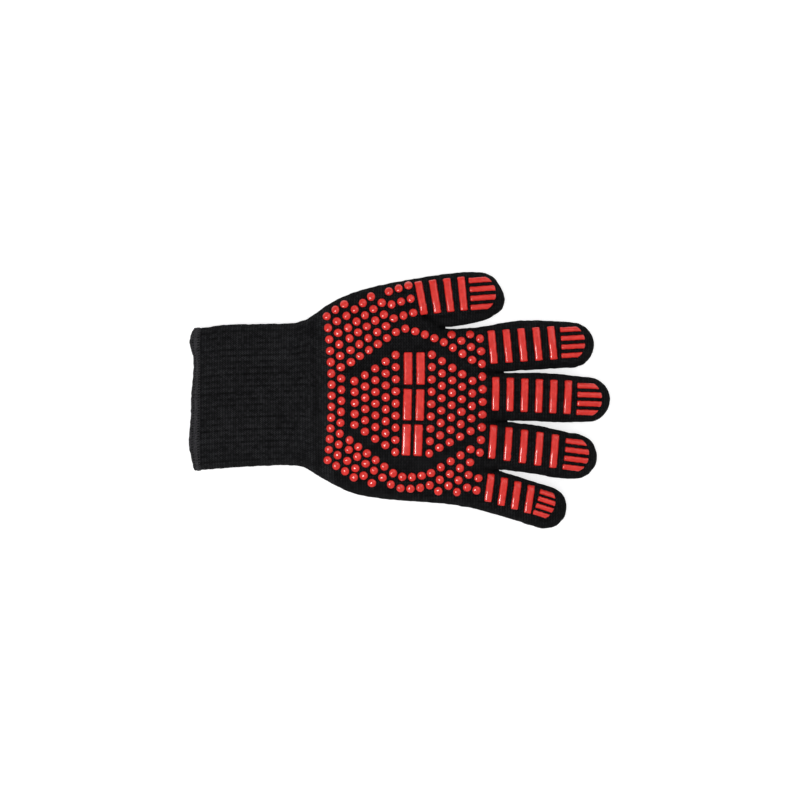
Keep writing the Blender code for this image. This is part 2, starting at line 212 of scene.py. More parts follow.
def smooth_run(points):
    """A curve through the points, sampled about every EDGE_STEP."""
    p = np.array(points, float)
    p = np.vstack([2 * p[0] - p[1], p, 2 * p[-1] - p[-2]])
    out = []
    for i in range(1, len(p) - 2):
        gaps = np.hypot(*np.diff(p[i - 1:i + 3], axis=0).T)
        knots = np.cumsum([0, *np.maximum(gaps, 1e-6) ** 0.5])
        steps = max(1, round(gaps[1] / EDGE_STEP))
        for t in knots[1] + (knots[2] - knots[1]) * np.arange(steps) / steps:
            row = p[i - 1:i + 3]
            for width in (1, 2):
                row = [mean(*pair, *ends, t) for pair, ends in
                       zip(zip(row, row[1:]), zip(knots, knots[width:]))]
            out.append(mean(*row, *knots[1:3], t))
    return out + [p[-2]]


def normals_of(points):
    """The way to the left of an open run of points, which is inward for the outline."""
    way = np.roll(points, -1, 0) - np.roll(points, 1, 0)
    way[0], way[-1] = points[1] - points[0], points[-1] - points[-2]
    way /= np.hypot(*way.T)[:, None]
    return np.column_stack([-way[:, 1], way[:, 0]])


def outline_points():
    """The whole outline, open at the cuff's mouth, and the index of each slit's end in it."""
    slits = [None, *SLIT_ENDS.values(), None]
    points, ends = [], []
    for (lower, tip, upper), before, after in zip(DIGITS.values(), slits, slits[1:]):
        run = lower + (arc_points(*tip) if tip else []) + upper
        if before:
            run = [(before[0], before[1] + SLIT_HALF)] + run
        if after:
            run = run + [(after[0], after[1] - SLIT_HALF)]
        points += smooth_run(run)
        if after:
            ends.append(len(points))
            points.append(np.array(after) - (SLIT_POINT, 0))
    points = np.array(points)
    uneven = 0.10 * waves(points, 3.4, 31) + 0.16 * waves(points, 8, 32)
    for end in ends:
        uneven[max(0, end - 6):end + 7] = 0
    return points + normals_of(points) * uneven[:, None], ends


def blurred(values, rounds):
    """A closed row of values, each moved towards its neighbours that many times."""
    for _ in range(rounds):
        values = (np.roll(values, 1, 0) + 2 * values + np.roll(values, -1, 0)) / 4
    return values


def tree_of(points):
    """A tree that finds the nearest of the points in the plan."""
    tree = KDTree(len(points))
    for number, (x, y) in enumerate(points):
        tree.insert((x, y, 0), number)
    tree.balance()
    return tree


OUTLINE, SLIT_VERTS = outline_points()
EDGE_TREE, INWARD = tree_of(OUTLINE), normals_of(OUTLINE)


def nearest_edge(points):
    """How far inside the outline each point is, below 0 outside it, and the way to the edge."""
    nearest = np.array([EDGE_TREE.find((x, y, 0))[1] for x, y in points])
    depth, way = np.full(len(points), np.inf), np.zeros((len(points), 2))
    for first in (nearest - 1, nearest):
        first = np.clip(first, 0, len(OUTLINE) - 2)
        a, span = OUTLINE[first], OUTLINE[first + 1] - OUTLINE[first]
        t = np.clip(((points - a) * span).sum(1) / (span ** 2).sum(1), 0, 1)
        gap = a + span * t[:, None] - points
        far = np.hypot(*gap.T)
        closer = far < depth
        depth[closer], way[closer] = far[closer], gap[closer]
    outside = (way * INWARD[nearest]).sum(1) > 0
    way /= np.maximum(depth, 1e-9)[:, None]
    return np.where(outside, -depth, depth), way


def outline_vert_near(place, low, high):
    """The outline vertex nearest to the place, among those from low to high."""
    return low + int(np.hypot(*(OUTLINE[low:high] - place).T).argmin())


def cut_lines():
    """The outline vertices at the two ends of each line where the cloth is parted."""
    lines = [(outline_vert_near((x, -55), 0, SLIT_VERTS[0]),
              outline_vert_near((x, 60), SLIT_VERTS[3], len(OUTLINE) - 1))
             for x in (MOUTH_X, WRIST_CUT_X)]
    parts = [0, *SLIT_VERTS, len(OUTLINE)]
    for low, high, digit in zip(parts, parts[1:], DIGITS):
        joints = chain(digit)
        tip = low + int((OUTLINE[low:high] @ fold(joints[-1]["name"])[1]).argmax())
        place, heading = fold(joints[0]["name"])
        begin, across = place - heading * (FOLD_BEFORE + ROOT_GAP), left_of(heading)
        first = low or outline_vert_near(begin - across * LITTLE_REACH, 0, tip)
        second = high
        if digit in ("index", "thumb"):  # their upper sides start further out than a slit
            second = outline_vert_near(begin + across * DIGIT_REACH, tip, high)
        lines.append((first, second))
        for near, far in zip(joints, joints[1:]):
            (p, h), (q, g) = fold(near["name"]), fold(far["name"])
            middle = (p + q) / 2 + (h * FOLD_AFTER - g * FOLD_BEFORE) / 2
            reach = left_of((h + g) / 2) * DIGIT_REACH
            lines.append((outline_vert_near(middle - reach, low, tip),
                          outline_vert_near(middle + reach, tip, high)))
    return lines


def spread(points, others, gap):
    """The points that are further than that from every one of the others."""
    tree = tree_of(others)
    return points[[tree.find((x, y, 0))[2] > gap for x, y in points]]


def grid(low, high, step_x, step_y):
    """Points in rows, every second row shifted by half a step."""
    xs, ys = np.arange(low[0], high[0], step_x), np.arange(low[1], high[1], step_y)
    x, y = np.meshgrid(xs, ys)
    x = x + (np.arange(len(ys)) % 2)[:, None] * step_x / 2
    return np.stack([x.ravel(), y.ravel()], 1)


def plan_mesh():
    """The plan's points and triangles, each point's vertex in the outline if it has one, which is
    below len(OUTLINE), and each triangle's region, parted at the cuts."""
    points, last = list(OUTLINE), len(OUTLINE) - 1
    edges = [(i, i + 1) for i in range(last)] + [(last, 0)]
    for first, second in cut_lines():
        a, b = OUTLINE[first], OUTLINE[second]
        reach = np.hypot(*(b - a))
        ends = np.array(RING_INSETS)
        count = max(2, round((reach - 2 * CUT_ROUND) / CUT_STEP))
        inner = np.linspace(CUT_ROUND, reach - CUT_ROUND, count)
        along = np.concatenate([ends, inner, reach - ends[::-1]]) / reach
        row = [first]
        for t in along:
            row.append(len(points))
            points.append(a + (b - a) * t)
        row.append(second)
        edges += list(zip(row, row[1:]))
    fixed = np.array(points)
    chosen = fixed
    for number, inset in enumerate(RING_INSETS):
        ring = OUTLINE + INWARD * inset
        distance, _ = nearest_edge(ring)
        ring = ring[np.abs(distance - inset) < 0.12 * inset + 0.02]  # not over another edge
        if number % 2:  # every second row lies half a step along
            following = np.roll(ring, -1, 0)
            ring = (ring + following)[np.hypot(*(following - ring).T) < 2 * EDGE_STEP] / 2
        chosen = np.vstack([chosen, spread(ring, chosen, 0.42 * min(EDGE_STEP, 0.3 + inset))])
    field = np.vstack([grid(*CUFF_AREA, *CUFF_GRID), grid(*HAND_AREA, *HAND_GRID)])
    distance, _ = nearest_edge(field)
    field = field[distance > RING_INSETS[-1] + 0.6]
    chosen = np.vstack([chosen, spread(field, fixed, 0.5)])

    verts, _, faces, origin = delaunay_2d_cdt([Vector(p) for p in chosen], edges, [], 0, 1e-6)[:4]
    where = np.array([tuple(v) for v in verts])
    tris = np.array([f for f in faces if len(f) == 3])
    tris = tris[nearest_edge(where[tris].mean(1))[0] > 0]
    old = np.array([o[0] if o else -1 for o in origin])
    return where, tris, old, regions(tris, old, {frozenset(e) for e in edges})


def regions(tris, old, walls):
    """A number for each triangle: those joined without crossing a wall share one."""
    across = {}
    for number, tri in enumerate(tris):
        for a, b in ((tri[0], tri[1]), (tri[1], tri[2]), (tri[2], tri[0])):
            if frozenset((int(old[a]), int(old[b]))) not in walls:
                across.setdefault((min(a, b), max(a, b)), []).append(number)
    pairs = np.array([pair for pair in across.values() if len(pair) == 2])
    region, before = np.arange(len(tris)), None
    while not np.array_equal(region, before):
        before = region.copy()
        lower = np.repeat(region[pairs].min(1), 2)
        np.minimum.at(region, pairs.ravel(), lower)
        region = region[region]
    return region


# ======== relief
def smoothstep(value, start, end):
    t = np.clip((value - start) / (end - start), 0, 1)
    return t * t * (3 - 2 * t)


def side_round(distance):
    """The height of the rounded side, from 0 at the edge to 1 where the cloth is flat."""
    return np.sqrt(1 - (1 - np.clip(distance / SIDE_ROUND, 0, 1)) ** 2)


def side_arc(distance):
    """The way along the cloth from the edge to a place that is distance in from it."""
    turn = SIDE_ROUND * np.arccos(1 - np.clip(distance / SIDE_ROUND, 0, 1))
    return turn + np.maximum(distance - SIDE_ROUND, 0)


def valley(points, a, b, width):
    """1 on the line from a to b, falling to 0 about width away from it."""
    a, b = np.array(a, float), np.array(b, float)
    t = np.clip((points - a) @ (b - a) / ((b - a) @ (b - a)), 0, 1)
    gap = points - a - t[:, None] * (b - a)
    return np.exp(-(gap ** 2).sum(1) / width ** 2)


# Creases in the palm side: the two ends, the width and the depth, in millimetres. The depth also sets
# the painted shade in a crease.
CREASES = [
    ((30, 52), (17, 60), 2.6, 1.5), ((30, 52), (24, 49), 2.2, 0.7),
    ((67.0, -50.2), (57.5, -49.5), 2.0, 0.9), ((69.4, -15.3), (60.5, -15.8), 2.0, 0.9),
    ((68.2, 19.9), (60.0, 19.4), 2.0, 0.9), ((-58, -52), (-62, 56), 3.4, 0.7),
]
CUFF_HALF = 50.0  # half of the cuff's width, that its ribs are counted across
RIB_END = (-71.0, -57.0)  # where the ribs fade into the plain knit
# Unevenness of the palm side: wavelength, height and seed. The last two are the fine ones.
SWELL, DENTS, RIPPLES = (34, 0.34, 3), (12, 0.16, 4), (6.5, 0.22, 5)
# The yarn's level of lightness, its random unevenness in tone, and the painted shade in the rib grooves.
YARN_LIGHT, YARN_UNEVEN, GROOVE_DARK = 1.08, 0.14, 0.85
SHADE_RANGE = 0.05, 1.4


def cuff_sides(x):
    """The Y of the cuff's two sides at x, as far as the palm's first dots."""
    return (np.interp(x, *zip(*(place for place in sorted(side) if place[0] < -30)))
            for side in (LITTLE_SIDE, THUMB_SIDE))


def rib_place(points):
    """How far round the cuff from the middle of the palm side each place is."""
    low, high = cuff_sides(points[:, 0])
    middle, half = (low + high) / 2, (high - low) / 2
    offset = np.clip(half - np.abs(points[:, 1] - middle), 0, None)
    turn = 1 - side_arc(offset) / side_arc(half)
    return np.sign(points[:, 1] - middle) * turn * side_arc(CUFF_HALF)


def rib_groove(points):
    """1 in the narrow grooves between the cuff's ribs, and how strongly they show at each place."""
    phase = rib_place(points) / RIB_PITCH * math.pi
    groove = np.abs(np.sin(phase)) ** 6
    patchy = 0.66 + 0.17 * np.clip(waves(points, 17, 12), -1, 1) + 0.17 * waves(points, 4.5, 13)
    return groove, np.clip(patchy, 0.2, 1) * (1 - smoothstep(points[:, 0], *RIB_END))


def rib_relief(points, distance):
    """The cuff's ribs: rounded tops with narrow grooves between them."""
    groove, strength = rib_groove(points)
    return RIB_DEPTH * (1 - 2 * groove) * strength * smoothstep(distance, 0, 1.2)


def rims(points):
    """The lines that run along the glove's edges: inset, width, depth and where they are."""
    return [(2.3, 0.5, 0.30, smoothstep(points[:, 0], 84, 100)),
            (3.0, 0.55, 0.35, 1 - smoothstep(points[:, 0], -80, -70))]


def palm_height(points, distance, fine=True):
    """The palm side's height above the floor, with or without its finest unevenness."""
    height = HALF + (HALF - 0.3) * side_round(distance)
    height += CROWN * (1 - np.exp(-distance / CROWN_REACH))
    uneven = [(smoothstep(distance, 0.5, 9), SWELL)]
    if fine:
        uneven += [(smoothstep(distance, 0.5, 9), DENTS), (smoothstep(distance, 0.2, 3), RIPPLES)]
    for soft, (length, high, seed) in uneven:
        height += soft * high * waves(points, length, seed)
    for a, b, width, depth in CREASES:
        height -= depth * valley(points, a, b, width) * smoothstep(distance, 0.2, 2.5)
    for inset, width, depth, where in rims(points):
        height -= depth * np.exp(-((distance - inset) / width) ** 2) * where
    return height + rib_relief(points, distance)


def palm_shade(points, distance):
    """How light the palm side's yarn is: random tone, with painted shade in the rib grooves, the creases
    and the lines along the edges.
    """
    groove, strength = rib_groove(points)
    shade = (YARN_LIGHT + YARN_UNEVEN * waves(points, 28, 21) * strength
             - GROOVE_DARK * groove * strength)
    # Painted shade in the creases.
    for a, b, width, depth in CREASES:
        shade *= 1 - min(0.75, 0.55 * depth) * valley(points, a, b, width * 0.9)
    # Painted shade in the lines along the edges.
    for inset, width, depth, where in rims(points):
        shade *= 1 - 0.5 * np.exp(-((distance - inset) / width) ** 2) * where
    return np.clip(shade, *SHADE_RANGE)


def back_height(points, distance):
    """The back's height above the floor, which it touches over most of its area."""
    cuff = smoothstep(-points[:, 0], 48, 70)
    height = HALF * (1 - side_round(distance)) + 0.12 + 0.2 * cuff
    height += smoothstep(distance, 1.0, 8) * 0.3 * (1 + waves(points, 30, 8))
    return np.maximum(height - 0.6 * rib_relief(points, distance), 0.05)


def back_shade(points):
    """How light the back's yarn is: random tone, with painted shade in the rib grooves."""
    groove, strength = rib_groove(points)
    shade = YARN_LIGHT + YARN_UNEVEN * waves(points, 28, 22) - GROOVE_DARK * groove * strength
    return np.clip(shade, *SHADE_RANGE)


def cloth_uv(points, distance, way, digit=None):
    """Places along the cloth in millimetres: across the wales and along them."""
    extra = (SIDE_ROUND * (math.pi / 2 - 1)
             - (side_arc(distance) - distance)) * (distance < SIDE_ROUND)
    spot = points + way * extra[:, None]
    across, along = spot[:, 1].copy(), spot[:, 0]
    if digit:  # its wales leave the palm's at its root and then run the way that it does
        folds = [fold(joint["name"]) for joint in chain(digit)]
        (start, root), (_, tip) = folds[0], folds[-1]
        slope = (root[1] / root[0] + tip[1] / tip[0]) / 2
        across -= np.maximum(points[:, 0] - start[0], 0) * slope
    ribbed = points[:, 0] < WRIST_CUT_X
    share = 1 - smoothstep(points[:, 0], -70, -46)
    across[ribbed] = (across * (1 - share) + rib_place(points) * share)[ribbed]
    return np.stack([across, along], 1)


# ======== making meshes
def piece(name, verts_mm, faces, look, uv_mm=None, shade=None):
    """A mesh object from points in millimetres, with each point's place in the cloth and shade."""
    mesh = bpy.data.meshes.new(name)
    verts_mm = np.asarray(verts_mm, float)
    mesh.from_pydata((verts_mm * MM).tolist(), [], faces)
    if uv_mm is not None:
        layer = mesh.uv_layers.new(name="cloth_mm")
        loops = np.empty(len(mesh.loops), np.int32)
        mesh.loops.foreach_get("vertex_index", loops)
        layer.data.foreach_set("uv", np.asarray(uv_mm, float)[loops].ravel())
        layer = mesh.attributes.new("shade", "FLOAT", "POINT")
        layer.data.foreach_set("value", np.ones(len(verts_mm)) if shade is None else shade)
    mesh.polygons.foreach_set("use_smooth", [True] * len(mesh.polygons))
    mesh.materials.append(look)
    mesh.update()
    obj = bpy.data.objects.new(name, mesh)
    bpy.context.scene.collection.objects.link(obj)
    return obj


def tube(rings, sides, closed=False):
    """The faces between rings of points that follow each other. closed joins last to first."""
    here = np.arange(sides)
    after = (here + 1) % sides
    faces = []
    for low in range(rings - (not closed)):
        high = (low + 1) % rings
        faces += np.column_stack([low * sides + here, low * sides + after,
                                  high * sides + after, high * sides + here]).tolist()
    return faces


def capped_tube(rings, sides):
    """The faces of a tube that is closed by a flat face at each end."""
    last = (rings - 1) * sides
    return tube(rings, sides) + [list(range(sides))[::-1], list(range(last, last + sides))]


def round_points(sides):
    """Points on a circle of radius 1."""
    angles = np.arange(sides) * math.tau / sides
    return np.stack([np.cos(angles), np.sin(angles)], 1)


class Skin:
    """The parted plan: its points with their heights, and the triangles of each region."""

    def __init__(self):
        self.points, self.tris, old, self.region = plan_mesh()
        self.distance, self.way = nearest_edge(self.points)
        self.distance = np.maximum(self.distance, 0)
        self.on_edge = on_edge = (old >= 0) & (old < len(OUTLINE))
        self.distance[on_edge] = 0
        self.way[on_edge] = -INWARD[old[on_edge]]
        self.top = palm_height(self.points, self.distance)
        self.bottom = back_height(self.points, self.distance)
        self.top[on_edge] = self.bottom[on_edge] = HALF
        self.shade = palm_shade(self.points, self.distance)
        self.back_shade = back_shade(self.points)

    def piece(self, name, place, look, digit=None):
        """Both sides of the region at that place, joined round its edge."""
        nearest = np.hypot(*(self.points[self.tris].mean(1) - place).T).argmin()
        tris = self.tris[self.region == self.region[nearest]]
        used = np.unique(tris)
        inner_rows = ~self.on_edge[used]
        inner = used[inner_rows]
        number = np.full(len(self.points), -1)
        number[used] = np.arange(len(used))
        under = number.copy()
        under[inner] = len(used) + np.arange(len(inner))
        flat = self.points[np.concatenate([used, inner])]
        height = np.concatenate([self.top[used], self.bottom[inner]])
        uv = cloth_uv(self.points[used], self.distance[used], self.way[used], digit)
        faces = np.vstack([number[tris], under[tris][:, ::-1]]).tolist()
        shade = np.concatenate([self.shade[used], self.back_shade[inner]])
        return piece(name, np.column_stack([flat, height]), faces, look,
                     np.vstack([uv, uv[inner_rows]]), shade)


def web(name, end, crotch_x):
    """The saddle of cloth that closes a slit from its end out to the crotch that is seen."""
    stations, sides = 12, 12
    t = np.linspace(0, 1, stations)
    x = end[0] - WEB_ROOT + (crotch_x - end[0] + WEB_ROOT) * t
    middle = np.column_stack([x, np.full(stations, end[1])])
    half = np.maximum(-nearest_edge(middle)[0], SLIT_HALF) + WEB_LAP
    rise = WEB_HEIGHT * np.sqrt(np.clip(1 - t ** 5, 0.01, 1))
    across, up = round_points(sides).T
    rings = [np.column_stack([np.full(sides, x), y + wide * across, WEB_MIDDLE + tall * up])
             for (x, y), wide, tall in zip(middle, half, rise)]
    verts = np.vstack(rings)
    faces = [face[::-1] for face in capped_tube(stations, sides)]
    uv = np.column_stack([verts[:, 1] + verts[:, 2], verts[:, 0]])
    # The web's yarn is darkened by painted shade.
    return piece(name, verts, faces, PALM_KNIT, uv, np.full(len(verts), WEB_SHADE))


# ======== materials
class Nodes:
    """A short way to write a material's node tree. A value is a number, a colour or a socket."""

    def __init__(self, name):
        self.material = bpy.data.materials.new(name)
        self.material.use_nodes = True
        self.tree = self.material.node_tree
        self.shader = self.tree.nodes["Principled BSDF"]

    def link(self, value, socket):
        if isinstance(value, (int, float, tuple)):
            socket.default_value = value
        else:
            self.tree.links.new(value, socket)

    def constants(self, **values):
        """Sets sockets of the shader itself. In their names, _ stands for a space."""
        for name, value in values.items():
            self.shader.inputs[name.replace("_", " ")].default_value = value

    def new(self, kind, inputs, **settings):
        """The outputs of a new node with those values in its inputs."""
        node = self.tree.nodes.new("ShaderNode" + kind)
        for name, value in settings.items():
            setattr(node, name, value)
        for name, value in inputs.items():
            self.link(value, node.inputs[name])
        return node.outputs

    def math(self, operation, *values):
        return self.new("Math", dict(enumerate(values)), operation=operation)[0]

    def times(self, value, by):
        return self.math("MULTIPLY", value, by)

    def scaled(self, value, by, plus):
        return self.math("MULTIPLY_ADD", value, by, plus)

    def cloth_place(self):
        place = self.new("UVMap", {}, uv_map="cloth_mm")[0]
        return self.new("SeparateXYZ", {0: place})[:2]

    def chance(self, column, row):
        """A random value from 0 to 1 for each whole column and row."""
        cell = self.new("CombineXYZ", {0: column, 1: row})[0]
        return self.new("TexWhiteNoise", {"Vector": cell})["Value"]

    def noise(self, scale, detail):
        """Noise in object space, with about that many bumps to a metre."""
        place = self.new("TexCoord", {})["Object"]
        return self.new("TexNoise", {"Vector": place, "Scale": scale, "Detail": detail})["Fac"]

    def mix(self, share, low, high):
        return self.new("Mix", {"Factor": share, "A": low, "B": high}, data_type="RGBA")["Result"]

    def ramp(self, value, low, high):
        return self.new("MapRange", {"Value": value, "From Min": low, "From Max": high},
                        interpolation_type="SMOOTHSTEP")["Result"]

    def bump(self, height, depth, strength=1.0, below=None):
        inputs = {"Distance": depth, "Strength": strength, "Height": height}
        if below is not None:
            inputs["Normal"] = below
        return self.new("Bump", inputs)["Normal"]


def knit_stitches(n, across, along, wale, course):
    """Plain knit: its height, 0 in the gaps and 1 on the yarn, and each stitch's own lightness."""
    columns = n.math("DIVIDE", across, wale)
    side = n.math("SUBTRACT", n.math("FRACT", columns), 0.5)
    side = n.times(n.math("ABSOLUTE", side), 2.0)
    rows = n.math("SUBTRACT", n.math("DIVIDE", along, course), n.times(side, 0.85))
    bow = n.math("ABSOLUTE", n.scaled(n.math("FRACT", rows), 2.0, -1.0))
    leg = n.math("ABSOLUTE", n.scaled(side, 2.0, -1.0))
    round_row = n.math("SUBTRACT", 1.0, n.math("POWER", bow, 2.4))
    round_leg = n.math("SUBTRACT", 1.0, n.math("POWER", leg, 3.0))
    height = n.times(round_row, n.scaled(round_leg, 0.75, 0.25))
    column, row = n.math("FLOOR", columns), n.math("FLOOR", rows)
    own = n.scaled(n.chance(column, row), 0.8, 0.5)
    own = n.times(own, n.scaled(n.chance(column, 0.5), 0.3, 0.85))
    own = n.times(own, n.scaled(n.chance(0.5, row), 0.2, 0.9))
    return height, own


def knit_look(name, dark, light, wale, course, crisp=2.2):
    """Matte knitted yarn, with a painted highlight on its stitches' tops, painted shade in their gaps and
    each piece's shade. The more crisp, the narrower its lit part.
    """
    n = Nodes(name)
    across, along = n.cloth_place()
    height, own = knit_stitches(n, across, along, wale, course)
    fuzz = n.noise(5200.0, 2.0)
    cloud = n.noise(110.0, 3.0)
    # Painted highlight on the stitches' tops and painted shade in their gaps, times each stitch's random tone.
    lit = n.times(n.math("POWER", height, crisp), own)
    lit = n.times(lit, n.scaled(n.ramp(cloud, 0.25, 0.75), 0.35, 0.7))
    lit = n.times(lit, n.scaled(fuzz, 0.9, 0.55))
    # Times each piece's shade attribute, which holds its painted shade and, on the skin, random yarn tone.
    lit = n.times(n.scaled(fuzz, 0.06, lit), n.new("Attribute", {}, attribute_name="shade")["Fac"])
    n.link(n.mix(lit, dark, light), n.shader.inputs["Base Color"])
    n.constants(Roughness=0.92, Specular_IOR_Level=0.02, Sheen_Weight=0.012, Sheen_Roughness=0.5)
    fibres = n.bump(fuzz, 0.00012, 0.5)
    n.link(n.bump(height, 0.00045, 1.0, fibres), n.shader.inputs["Normal"])
    return n.material


def silicone_look():
    """Glossy red silicone, very slightly clouded, with a fine moulded unevenness."""
    n = Nodes("red_silicone_gloss")
    cloud = n.noise(300.0, 3.0)
    speck = n.noise(2400.0, 2.0)
    colour = n.mix(n.ramp(cloud, 0.3, 0.75), (0.67, 0.021, 0.015, 1), (0.79, 0.031, 0.022, 1))
    specks = n.times(n.ramp(speck, 0.60, 0.80), 0.3)
    colour = n.mix(specks, colour, (0.46, 0.014, 0.010, 1))
    n.link(colour, n.shader.inputs["Base Color"])
    n.link(n.scaled(cloud, 0.10, 0.13), n.shader.inputs["Roughness"])
    n.constants(Specular_IOR_Level=0.5, Subsurface_Weight=0.05, Subsurface_Scale=1.0,
                Subsurface_Radius=(0.0016, 0.0004, 0.0003))
    n.link(n.bump(n.noise(700.0, 2.0), 0.00003, 0.6), n.shader.inputs["Normal"])
    return n.material


def thread_look():
    """Twisted yarn: fine strands in shades of grey."""
    n = Nodes("hem_thread")
    strands = n.noise(2600.0, 4.0)
    colour = n.mix(n.ramp(strands, 0.3, 0.75), (0.014, 0.014, 0.015, 1), (0.085, 0.084, 0.09, 1))
    n.link(colour, n.shader.inputs["Base Color"])
    n.constants(Roughness=0.85, Specular_IOR_Level=0.12, Sheen_Weight=0.05)
    n.link(n.bump(strands, 0.0002, 0.7), n.shader.inputs["Normal"])
    return n.material


# Each knit: its darkest yarn, the painted shade in its gaps, and its lightest, the painted highlight
# on its stitches' tops; and how wide and long a stitch is in millimetres.
PALM_KNIT = knit_look("black_plain_knit", (0.0005, 0.0005, 0.0006, 1), (0.0255, 0.0255, 0.0275, 1),
                      RIB_PITCH / 2, COURSE, 3.2)
CUFF_KNIT = knit_look("charcoal_rib_knit", (0.0009, 0.0009, 0.0010, 1), (0.040, 0.0405, 0.044, 1),
                      RIB_PITCH / 3, COURSE)
HEM_KNIT = knit_look("hem_knit", (0.006, 0.006, 0.0065, 1), (0.130, 0.127, 0.140, 1), 1.3, 1.2)
LINING = knit_look("lining_knit", (0.004, 0.004, 0.0045, 1), (0.05, 0.05, 0.054, 1), 1.6, 1.4)
SILICONE = silicone_look()
THREAD = thread_look()


# ======== silicone
def surface(points):
    """The palm side's height under places in the plan."""
    return palm_height(points, np.maximum(nearest_edge(points)[0], 0), fine=False)


def dots(name, centres):
    """Round domes of silicone, each with a small foot that sinks into the knit."""
    sides = 24
    profile = [(1.0, -0.35), (1.0, 0.12), (0.985, 0.27), (0.93, 0.43), (0.84, 0.57), (0.70, 0.73),
               (0.52, 0.87), (0.33, 0.96), (0.16, 1.0)]
    flat = np.vstack([round_points(sides) * r for r, _ in profile] + [[(0, 0)]])
    rise = np.concatenate([np.full(sides, h) for _, h in profile] + [[1.01]]) * DOT_HEIGHT
    last = (len(profile) - 1) * sides
    one = tube(len(profile), sides)
    one += [(last + i, last + (i + 1) % sides, len(flat) - 1) for i in range(sides)]
    one.append(tuple(range(sides))[::-1])
    rng = np.random.default_rng(11)
    verts, faces = [], []
    for number, centre in enumerate(centres):
        size, squeeze, tall = (rng.uniform(1 - part, 1 + part) for part in DOT_VARIES)
        place = flat * DOT_RADIUS * size * (squeeze, 1 / squeeze) + centre
        tilt = (rise > 0) * (flat @ rng.normal(0, DOT_TILT, 2))
        shift = number * len(flat)
        verts.append(np.column_stack([place, surface(place) + rise * tall + tilt]))
        faces += [tuple(v + shift for v in f) for f in one]
    return piece(name, np.vstack(verts), faces, SILICONE)


def row_places(x, y, last_x, last_y, count, bow, slip=0):
    """The middles of a row of dots: see DOT_ROWS."""
    first, last = np.array((x, y)), np.array((last_x, last_y))
    t = np.linspace(0, 1, count)[:, None] if count > 1 else np.zeros((1, 1))
    way = last - first
    ahead = way / max(np.hypot(*way), 1e-9)
    return first + way * t + (left_of(ahead) * bow + ahead * slip) * (1 - (2 * t - 1) ** 2)


def bar_plan(u, v, width, length, corner):
    """A square grid's places moved onto a rectangle with rounded corners, and the way in from its
    edge to each."""
    x, y = u * width / 2, v * length / 2
    middle_x, middle_y = width / 2 - corner, length / 2 - corner
    over_x, over_y = np.abs(x) - middle_x, np.abs(y) - middle_y
    both, further = (over_x > 0) & (over_y > 0), np.maximum(over_x, over_y)
    shrink = np.where(both, further / np.maximum(np.hypot(over_x, over_y), 1e-9), 1)
    x = np.where(both, np.sign(x) * (middle_x + over_x * shrink), x)
    y = np.where(both, np.sign(y) * (middle_y + over_y * shrink), y)
    outside = np.hypot(np.maximum(over_x, 0), np.maximum(over_y, 0)) * shrink
    return x, y, corner - outside - np.minimum(further, 0)


def eased(count):
    """From -1 to 1, closer together towards the ends."""
    t = np.linspace(-1, 1, count)
    return np.sin(t * math.pi / 2) * 0.55 + t * 0.45


def moulded(name, plan, width, length, height, cells, corner=1.0):
    """A low bar of silicone. plan turns its own across and along into places on the glove."""
    u, v = np.meshgrid(eased(cells[0]), eased(cells[1]))
    x, y, room = bar_plan(u.ravel(), v.ravel(), width, length, corner)
    uneven = waves(np.column_stack([x, y]), 3.1, len(name)) * MOULD_UNEVEN
    room = np.clip(room / MOULD_ROUND, 0, 1)
    rise = height * (MOULD_STEP + (1 - MOULD_STEP) * np.sqrt(1 - (1 - room) ** 2))
    rise += MOULD_CROWN * (1 - (x / (width / 2)) ** 2)
    place = plan(x + uneven * (1 - room), y)
    ground = surface(place)
    top = np.column_stack([place, ground + rise])
    columns, rows = cells
    index = np.arange(columns * rows).reshape(rows, columns)
    quads = [(index[r, c], index[r, c + 1], index[r + 1, c + 1], index[r + 1, c])
             for r in range(rows - 1) for c in range(columns - 1)]
    rim = [*index[0, :-1], *index[:-1, -1], *index[-1, :0:-1], *index[:0:-1, 0]]
    foot = np.column_stack([place[rim], ground[rim] - MOULD_FOOT])
    count = len(top)
    skirt = [(rim[(i + 1) % len(rim)], rim[i], count + i, count + (i + 1) % len(rim))
             for i in range(len(rim))]
    bottom = tuple(range(count + len(rim) - 1, count - 1, -1))
    return piece(name, np.vstack([top, foot]), quads + skirt + [bottom], SILICONE)


def bar_on(name, centre, lean, length, size):
    """A bar of that width and height, leaning by that angle from +Y towards -X."""
    across = way_at(lean)

    def plan(x, y):
        return centre + x[:, None] * across + y[:, None] * left_of(across)

    return moulded(name, plan, size[0], length, size[1], (11, 41))


def tip_strips(digit):
    """The four strips along a fingertip, whose far ends follow the tip's arc."""
    middle, heading, pitch, start, end = TIP_STRIPS[digit]
    along = way_at(math.radians(heading))
    strips = []
    for number in range(4):
        offset = (number - 1.5) * pitch
        width = STRIP_WIDTH * STRIP_SHARE.get(digit, (pitch / 6.3) ** 0.6)

        def plan(x, y, offset=offset):
            side = offset + x
            far = end - STRIP_ARC * side ** 2 - STRIP_CORNER * side ** 4
            near = start - STRIP_STEP * abs(offset) / pitch
            half = (far - near) / 2
            run = (near + far) / 2 + y / 10 * half
            return np.array(middle) + run[:, None] * along + side[:, None] * left_of(along)

        strips.append(moulded(f"{digit}_tip_strip_{number + 1}", plan, width, 20, STRIP_HEIGHT,
                              (10, 31)))
    return strips


